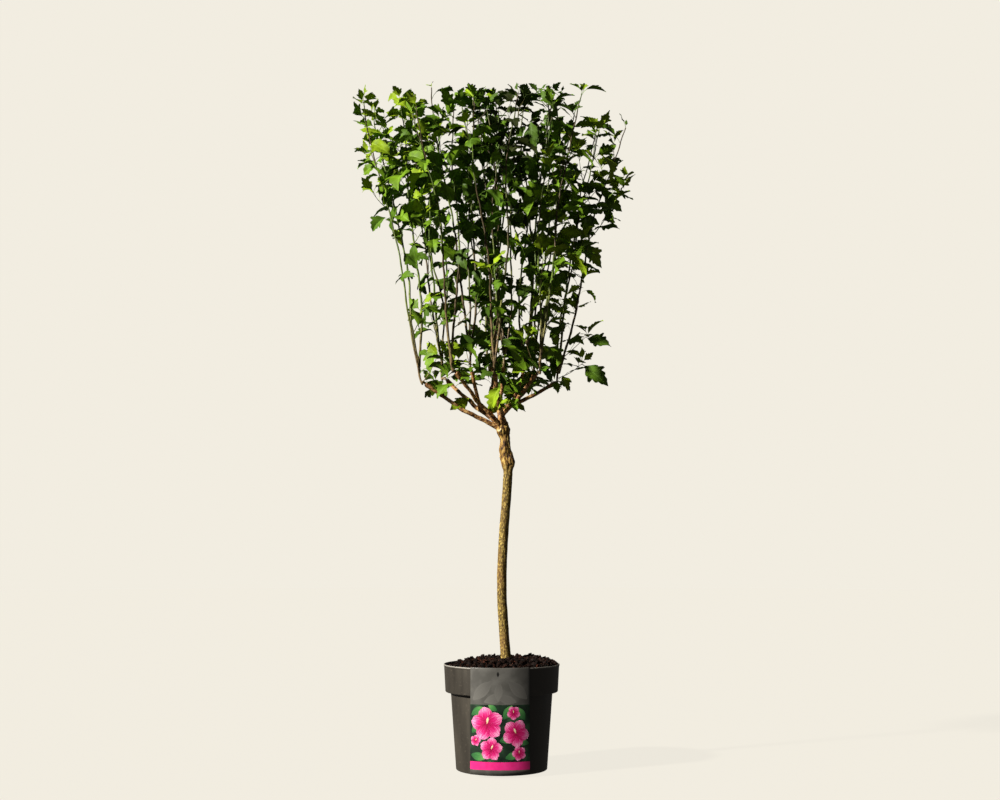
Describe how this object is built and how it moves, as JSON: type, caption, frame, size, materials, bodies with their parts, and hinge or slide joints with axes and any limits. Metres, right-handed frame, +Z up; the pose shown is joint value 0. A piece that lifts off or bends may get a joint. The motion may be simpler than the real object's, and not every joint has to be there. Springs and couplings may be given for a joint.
{
  "type": "rose of sharon standard in a nursery pot",
  "caption": "Potted rose of sharon grown as a standard: a bare stem carries a vase-shaped crown of upright leafy whips above a round black nursery pot of compost with a plain printed card.",
  "frame": {"origin": "middle of the pot's flat underside, which stands on the ground", "axes": "+Z up along the stem, -Y towards the front of the pot, where the card hangs, +X to the right of it"},
  "size_m": [0.6591, 0.6, 1.5727],
  "materials": {
    "pot_plastic": "satin",
    "compost": "matte",
    "printed_card": "satin",
    "stem_bark": "matte",
    "young_bark": "matte",
    "leaf": "satin"
  },
  "bodies": {
    "root": {"pot": "pot_plastic", "compost": "compost", "plant_card": "printed_card", "trunk": "stem_bark", "bough_centre": "young_bark", "bough_left_low": "young_bark", "bough_left": "young_bark", "bough_front_left": "young_bark", "bough_front": "young_bark", "bough_back": "young_bark", "bough_right": "young_bark", "bough_front_right": "young_bark", "bough_back_right": "young_bark", "bough_inner_right": "young_bark", "bough_inner_left": "young_bark", "bough_inner_front": "young_bark", "foliage_centre": "leaf", "foliage_left_low": "leaf", "foliage_left": "leaf", "foliage_front_left": "leaf", "foliage_front": "leaf", "foliage_back": "leaf", "foliage_right": "leaf", "foliage_front_right": "leaf", "foliage_back_right": "leaf", "foliage_inner_right": "leaf", "foliage_inner_left": "leaf", "foliage_inner_front": "leaf"}
  },
  "joints": []
}
